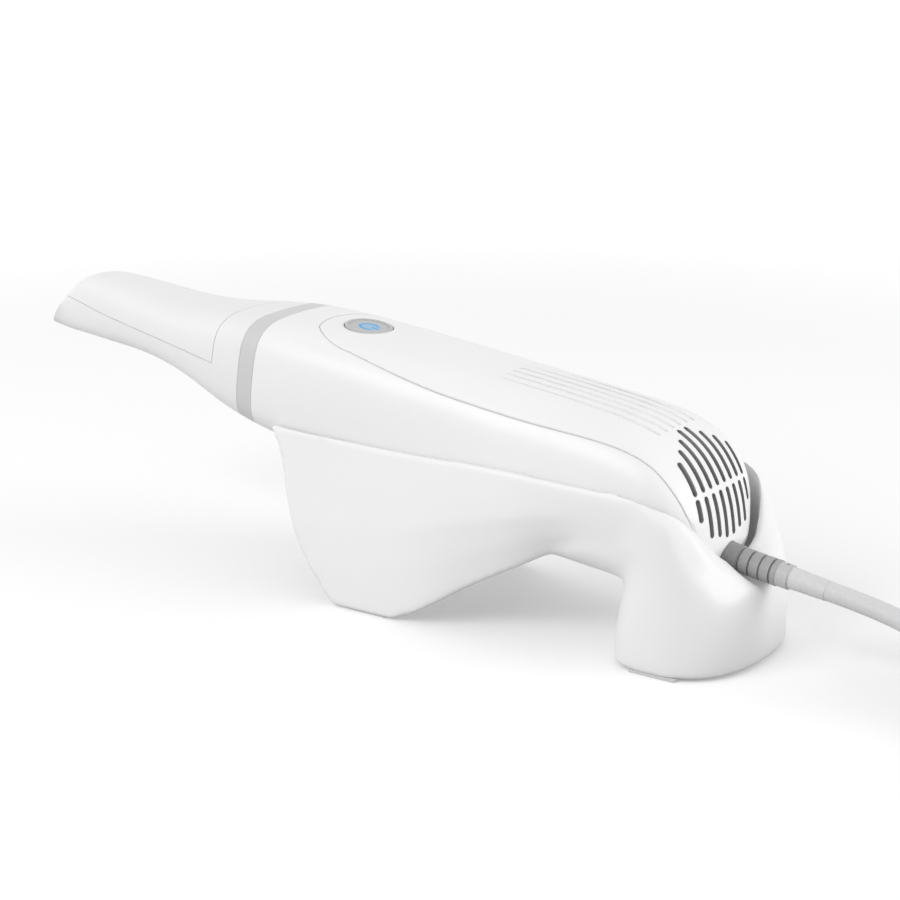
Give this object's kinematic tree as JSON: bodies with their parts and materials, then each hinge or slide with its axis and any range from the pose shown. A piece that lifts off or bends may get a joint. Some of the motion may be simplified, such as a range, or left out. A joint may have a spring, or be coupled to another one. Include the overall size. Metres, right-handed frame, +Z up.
{
  "type": "intraoral scanner",
  "caption": "White hand-held intraoral scanner resting nose up in its moulded desktop cradle, with a pull-off mirror tip, a power button, a cooling grille and a grey cable.",
  "frame": {"origin": "centre of the footprint of the scanner and cradle on the table, cable left out", "axes": "+Z up from the table, the scanner's nose towards -X, its cable towards +X, symmetric about Y = 0 apart from the free cable"},
  "size_m": [0.4264, 0.1125, 0.0869],
  "materials": {
    "white_shell": "satin",
    "cradle_shell": "satin",
    "tip_shell": "satin",
    "ring_grey": "satin",
    "button_grey": "satin",
    "symbol_blue": "gloss",
    "mirror_face": "polished",
    "soft_grey": "matte",
    "relief_grey": "matte",
    "cable_grey": "matte",
    "inner_black": "matte",
    "bench_metal": "satin",
    "lens_glass": "clear",
    "board_green": "satin",
    "chip_black": "matte",
    "screw_steel": "satin"
  },
  "bodies": {
    "main": {"cradle": "cradle_shell", "foot_pads": "cable_grey", "lower_housing": "white_shell", "top_cover": "white_shell", "collar_ring": "ring_grey", "tact_switch": "chip_black", "button_board": "board_green", "nose_housing": "inner_black", "nose_window": "lens_glass", "nose_seal": "soft_grey", "optical_bench": "bench_metal", "camera_barrel": "inner_black", "camera_lens": "lens_glass", "projector_barrel": "inner_black", "projector_lens": "lens_glass", "camera_board": "board_green", "camera_sensor": "chip_black", "light_engine": "inner_black", "light_sink": "bench_metal", "main_board": "board_green", "main_chips": "chip_black", "chip_sink": "bench_metal", "board_screws": "screw_steel", "fan_frame": "inner_black", "housing_screws": "screw_steel", "cable_gland": "inner_black", "cable_collar": "relief_grey", "strain_relief": "relief_grey", "relief_ring": "relief_grey", "cable_sleeve": "cable_grey", "cable": "cable_grey", "cable_coil": "cable_grey", "cable_tail": "cable_grey", "coil_tie": "soft_grey", "plug_relief": "relief_grey", "plug_body": "relief_grey", "plug_shell": "screw_steel", "plug_tongue": "inner_black"},
    "button": {"power_button": "button_grey", "button_symbol": "symbol_blue", "switch_plunger": "inner_black"},
    "tip": {"tip_body": "tip_shell", "tip_cover": "tip_shell", "tip_mirror": "mirror_face"},
    "rotor": {"fan_rotor": "inner_black"}
  },
  "joints": [
    {"name": "button_press", "type": "slide", "parent": "main", "child": "button", "axis": [-0.1392, 0, -0.9903], "range_m": [0, 0.0005], "stiffness_N_per_m": 1500, "springref_m": -0.0003},
    {"name": "tip_pull", "type": "slide", "parent": "main", "child": "tip", "axis": [-0.9903, 0, 0.1392], "range_m": [0, 0.06]},
    {"name": "fan_spin", "type": "hinge", "parent": "main", "child": "rotor", "pos_m": [0.10517, 0, 0.04526], "axis": [0.9903, 0, -0.1392], "continuous": true}
  ]
}
